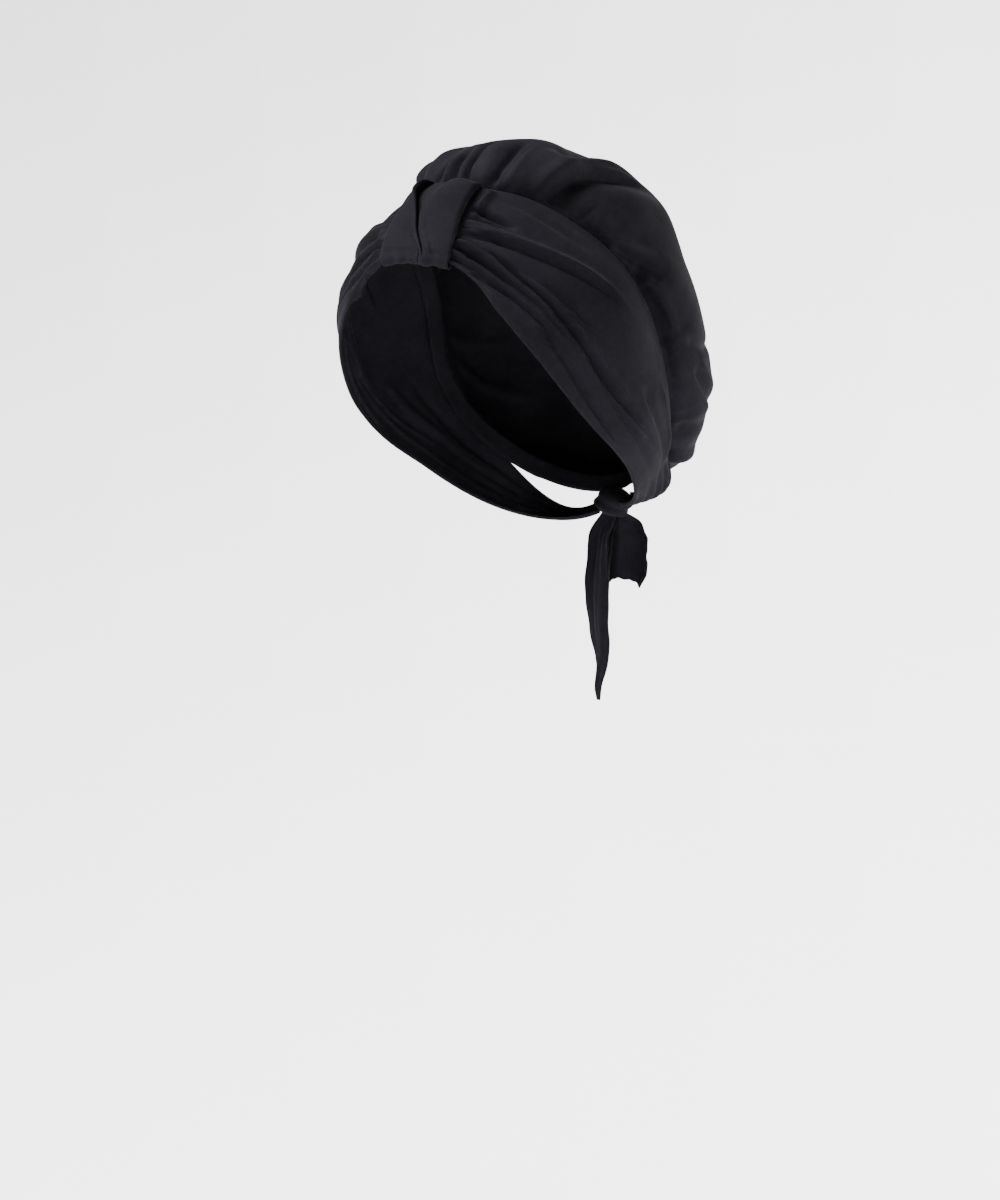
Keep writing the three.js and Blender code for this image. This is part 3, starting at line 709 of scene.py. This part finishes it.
def loop_face(stand, section, downs):
    """One face of the strip: down its front (0 to 1), under its low edge (1 to 2) and up
    inside (2 to 3). The section's rows are a place across, from 0 at one edge to 1 at the
    other with the lap at LAP_AT, and then what a row of LAP_SECTION holds."""
    across, offset, slope, rises = (np.array(column)[:, None] for column in zip(*section))
    down = np.asarray(downs)[None, :]
    up = np.where(down <= 1, 1 - down, np.where(down <= 2, 0, LOOP_HEM * (down - 2)))
    curve = {name: LOOP_CURVES[name](up) for name in LOOP_NAMES}
    lap_end = curve["lap"] + turn_over(LAP_END[0] + LAP_END[1] * curve["valley"])
    narrow = mix(curve["right"], curve["lap"], across / LAP_AT)
    wide = mix(lap_end, curve["left"], (across - LAP_AT) / (1 - LAP_AT))
    turn = np.where(across <= LAP_AT, narrow, wide)
    turn = turn + turn_over(offset + slope * curve["valley"])
    rise, lift = band_section(turn / BAND_TURN, up)[1:]
    middle = lift - CLOTH / 2
    held = ease(up / LOW_FADE + LOW_LEFT) * ease((1 - up) / TOP_FADE + TOP_LEFT)
    shown = np.where(down <= 1, held, 0)
    puff = LOOP_PUFF * np.sin(np.pi * np.clip(up, 0, PUFF_END)) ** PUFF_POWER
    from_lap = turn - curve["lap"]
    pinches = PINCH_TALL * np.cos(PINCH_PITCH * from_lap) * bump(from_lap, PINCH_SPREAD)
    pinches = pinches * np.exp(-up / PINCH_FADE)
    swell = shown * (LAP_RISE * curve["rise"] * rises + puff + pinches)
    rounding = bump(across, SIDE_ROUNDING_WIDE) + bump(1 - across, SIDE_ROUNDING_WIDE)
    edge = np.where(down <= 1, rounding, 0)
    angle = np.pi * np.clip(down - 1, 0, 1)
    reach = stand + np.where(down < 2, swell - SIDE_ROUNDING * edge, 0)
    dip = DIP_TALL * bump(from_lap, DIP_SPREAD) + EDGE_WAVE_TALL * np.sin(EDGE_WAVE_PITCH * from_lap)
    dip = dip * np.exp(-up / DIP_FADE)
    return on_head(turn, rise - dip - reach * np.sin(angle), middle + reach * np.cos(angle))


def make_loop():
    half = LOOP_COLUMNS // 2
    narrow = [[share, 0.0, 0.0, NARROW_RISE + share] for share in np.linspace(0, LAP_AT, half)[:-1]]
    lap = [[LAP_AT, *row] for row in LAP_SECTION]
    wide = []
    for share in np.linspace(LAP_AT, 1, half)[1:]:
        outward_share = (share - LAP_AT) / (1 - LAP_AT)
        wide.append([share, 0.0, 0.0, WIDE_RISE - WIDE_DROP * outward_share**2])
    rows = narrow + lap + wide
    front = np.linspace(0, 1, LOOP_FRONT_ROWS)
    under = np.linspace(1, 2, LOOP_UNDER_ROWS + 1)[1:]
    inside = np.linspace(2, 3, LOOP_INSIDE_ROWS + 1)[1:]
    downs = np.concatenate([front, under, inside])
    stand = CLOTH / 2 + LOOP_ROOM
    flat = [[row[0], row[1], row[2], 0.0] for row in rows]
    outer = loop_face(stand + LOOP_CLOTH, rows, downs)
    inner = loop_face(stand, flat, downs)
    return wall("front_loop_cloth", outer, inner)


# The knot and the free ends


def make_knot():
    turn, tilt = np.meshgrid(
        np.linspace(0, 2 * np.pi, KNOT_COLUMNS, endpoint=False),
        np.linspace(-np.pi / 2, np.pi / 2, KNOT_ROWS + 1),
        indexing="ij",
    )
    x = np.cos(tilt) * np.cos(turn)
    y = np.cos(tilt) * np.sin(turn)
    z = np.sin(tilt)
    wraps = 1 - KNOT_WRAP * (1 + np.cos(2 * np.pi * (z + KNOT_SLANT * x)))
    creases = KNOT_CREASE * np.sin(KNOT_CREASES_UP * z + KNOT_CREASES_ACROSS * x) * np.cos(tilt)
    size = (wraps + creases - KNOT_DRAWN_IN) / 2 * KNOT_GROWN
    outer = np.stack(
        [
            KNOT["x"] + x * size * KNOT["wide"],
            KNOT["y"] + y * size * KNOT["deep"],
            KNOT["z"] + z * size * KNOT["tall"],
        ],
        -1,
    )
    middle = np.array([KNOT["x"], KNOT["y"], KNOT["z"]])
    return wall("nape_knot_cloth", outer, middle + (outer - middle) * KNOT_CORE, ring=True)


def make_tail(name, size, rows):
    """A hanging end: across it from right to left, and down from the knot."""
    curves = table_curves(TAIL_NAMES, rows)
    top = KNOT["z"] - KNOT_LOW + TAIL_TUCK
    down, across = np.meshgrid(
        np.linspace(0, 1, TAIL_ROWS + 1), np.linspace(0, 1, TAIL_COLUMNS + 1), indexing="ij"
    )
    middle = KNOT["x"] + size["wide"] * curves["shift"](down)
    x = middle + size["wide"] * mix(curves["right"](down), curves["left"](down), across)
    wave = np.sin(size["half_waves"] * np.pi * across + WAVE_LEAN * down)
    wave = size["wave"] * ease(down / WAVE_FROM) * wave
    crease = np.sin(size["fine_waves"] * np.pi * across + CREASE_LEAN * down)
    crease = CREASE_TALL * ease(down / CREASE_FROM) * crease
    y = mix(size["from"], size["y"], ease(down / SETTLED)) + wave + crease * (1 - CREASE_LOSS * down)
    torn_point = TORN_POINT * bump(across - TORN_POINT_AT, TORN_POINT_WIDE)
    scallop = SCALLOP * np.sin(np.pi * across) - torn_point
    ragged = fray(RAGGED_WAVES, across) * ease((down - RAGGED_FROM) / (1 - RAGGED_FROM))
    z = top - size["long"] * down * (1 - scallop) + ragged
    x = x + fray(FRAYED_WAVES, down) * ease(down / SETTLED) * (2 * across - 1)
    outer = np.stack([x, y - TAIL_CLOTH / 2, z], -1)
    inner = np.stack([x, y + TAIL_CLOTH / 2, z], -1)
    return wall(name, outer, inner)


# The cloth's material


def make_cloth(name, dark, light, sheen):
    """Dark knitted cloth: fine ribs and slub in the bump, faint mottling in the colour."""
    material = bpy.data.materials.new(name)
    material.use_nodes = True
    nodes = material.node_tree.nodes
    links = material.node_tree.links
    shader = nodes["Principled BSDF"]
    shader.inputs["Roughness"].default_value = 0.82
    shader.inputs["Specular IOR Level"].default_value = 0.02
    shader.inputs["Sheen Weight"].default_value = sheen
    shader.inputs["Sheen Roughness"].default_value = 0.45
    shader.inputs["Sheen Tint"].default_value = (0.80, 0.78, 0.86, 1)
    place = nodes.new("ShaderNodeTexCoord")

    def noise(scale, detail, rough):
        node = nodes.new("ShaderNodeTexNoise")
        node.inputs["Scale"].default_value = scale
        node.inputs["Detail"].default_value = detail
        node.inputs["Roughness"].default_value = rough
        links.new(place.outputs["Object"], node.inputs["Vector"])
        return node.outputs["Fac"]

    patches = noise(scale=28, detail=4, rough=0.55)
    fleck = noise(scale=900, detail=3, rough=0.6)
    ramp = nodes.new("ShaderNodeMapRange")
    ramp.inputs["From Min"].default_value = 0.3
    ramp.inputs["From Max"].default_value = 0.7
    links.new(patches, ramp.inputs["Value"])
    tone = nodes.new("ShaderNodeMix")
    tone.data_type = "RGBA"
    tone.inputs["A"].default_value = (*dark, 1)
    tone.inputs["B"].default_value = (*light, 1)
    links.new(ramp.outputs["Result"], tone.inputs["Factor"])
    speck = nodes.new("ShaderNodeMix")
    speck.data_type = "RGBA"
    speck.blend_type = "MULTIPLY"
    speck.inputs["Factor"].default_value = 0.45
    links.new(tone.outputs["Result"], speck.inputs["A"])
    links.new(fleck, speck.inputs["B"])
    links.new(speck.outputs["Result"], shader.inputs["Base Color"])

    ribs = nodes.new("ShaderNodeTexWave")
    ribs.inputs["Scale"].default_value = 430
    ribs.inputs["Distortion"].default_value = 2.5
    ribs.inputs["Detail"].default_value = 2
    ribs.inputs["Detail Scale"].default_value = 3
    ribs.bands_direction = "DIAGONAL"
    links.new(place.outputs["Object"], ribs.inputs["Vector"])
    weave = nodes.new("ShaderNodeBump")
    weave.inputs["Strength"].default_value = 0.22
    weave.inputs["Distance"].default_value = 0.00025
    links.new(ribs.outputs["Fac"], weave.inputs["Height"])
    slub = nodes.new("ShaderNodeBump")
    slub.inputs["Strength"].default_value = 0.5
    slub.inputs["Distance"].default_value = 0.0004
    links.new(noise(scale=520, detail=4, rough=0.65), slub.inputs["Height"])
    links.new(weave.outputs["Normal"], slub.inputs["Normal"])
    rumple = nodes.new("ShaderNodeBump")
    rumple.inputs["Strength"].default_value = 0.5
    rumple.inputs["Distance"].default_value = 0.0016
    links.new(noise(scale=60, detail=3, rough=0.5), rumple.inputs["Height"])
    links.new(slub.outputs["Normal"], rumple.inputs["Normal"])
    links.new(rumple.outputs["Normal"], shader.inputs["Normal"])
    return material


# The pieces

CLOTH_MATERIAL = make_cloth(
    "dark_cloth", dark=(0.0058, 0.0055, 0.0074), light=(0.0094, 0.0089, 0.0118), sheen=0.01
)

pieces = {
    "crown": make_bag(),
    "band": make_band(),
    "front_loop": make_loop(),
    "nape_knot": make_knot(),
    "tie_tail_short": make_tail("tie_tail_short_cloth", SHORT_TAIL, SHORT_ROWS_AT),
    "tie_tail_long": make_tail("tie_tail_long_cloth", LONG_TAIL, LONG_ROWS_AT),
}
for node, piece in pieces.items():
    piece.data.materials.append(CLOTH_MATERIAL)
    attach(piece, "root")
    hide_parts(node)


# The studio


def make_floor():
    """A pale floor that curves up all round at a distance."""
    level = -1.3
    flat = 3.2
    bowl = 2.6
    count = 128
    ring_count = 49
    rings = np.linspace(0, np.pi / 2, ring_count)
    profile = [(flat + bowl * math.sin(t), bowl * (1 - math.cos(t))) for t in rings]
    angles = np.linspace(0, 2 * np.pi, count, endpoint=False)
    points = [[r * math.cos(a), r * math.sin(a), level + z] for r, z in profile for a in angles]
    faces = [list(range(count))]
    for j in range(len(profile) - 1):
        for i in range(count):
            k = (i + 1) % count
            faces.append([j * count + i, (j + 1) * count + i, (j + 1) * count + k, j * count + k])
    mesh = bpy.data.meshes.new("floor")
    mesh.from_pydata(points, [], faces)
    floor = bpy.data.objects.new("floor", mesh)
    bpy.context.scene.collection.objects.link(floor)
    material = bpy.data.materials.new("pale_floor")
    material.use_nodes = True
    shader = material.node_tree.nodes["Principled BSDF"]
    shader.inputs["Base Color"].default_value = (0.93, 0.93, 0.93, 1)
    shader.inputs["Roughness"].default_value = 0.9
    floor.data.materials.append(material)
    return floor


def add_sun(name, toward, strength, spread):
    """A soft light from far away, as from a large window."""
    data = bpy.data.lights.new(name, "SUN")
    data.energy = strength
    data.angle = math.radians(spread)
    light = bpy.data.objects.new(name, data)
    light.rotation_euler = (-Vector(toward)).to_track_quat("-Z", "Y").to_euler()
    bpy.context.scene.collection.objects.link(light)


def add_camera():
    """A long lens at the photograph's angle, turned so that the head's middle falls on
    its pixel."""
    azimuth = math.radians(AZIMUTH)
    elevation = math.radians(ELEVATION)
    focal = DISTANCE / METRES_PER_PIXEL
    place = DISTANCE * Vector((
        math.sin(azimuth) * math.cos(elevation),
        -math.cos(azimuth) * math.cos(elevation),
        math.sin(elevation),
    ))
    yaw = math.atan((HEAD_PIXEL[0] - PHOTO_WIDE / 2) / focal)
    pitch = math.atan((PHOTO_TALL / 2 - HEAD_PIXEL[1]) / focal)
    to_head = -place.normalized()
    tilt = math.asin(to_head.z) - pitch
    heading = math.atan2(to_head.x, to_head.y) - yaw
    forward = Vector((
        math.sin(heading) * math.cos(tilt),
        math.cos(heading) * math.cos(tilt),
        math.sin(tilt),
    ))
    right = forward.cross(Vector((0, 0, 1))).normalized()
    upward = right.cross(forward)
    data = bpy.data.cameras.new("camera")
    data.sensor_fit = "HORIZONTAL"
    data.sensor_width = SENSOR
    data.lens = SENSOR * focal / PHOTO_WIDE
    camera = bpy.data.objects.new("camera", data)
    turn = Matrix((right, upward, -forward)).transposed()
    camera.matrix_world = Matrix.Translation(place) @ turn.to_4x4()
    bpy.context.scene.collection.objects.link(camera)
    bpy.context.scene.camera = camera


make_floor()
add_sun("key", toward=(-0.62, -0.60, 1.05), strength=16.5, spread=35)
world = bpy.context.scene.world or bpy.data.worlds.new("world")
bpy.context.scene.world = world
world.use_nodes = True
world.node_tree.nodes["Background"].inputs["Color"].default_value = (1.0, 1.0, 1.0, 1)
world.node_tree.nodes["Background"].inputs["Strength"].default_value = 0.2
add_camera()
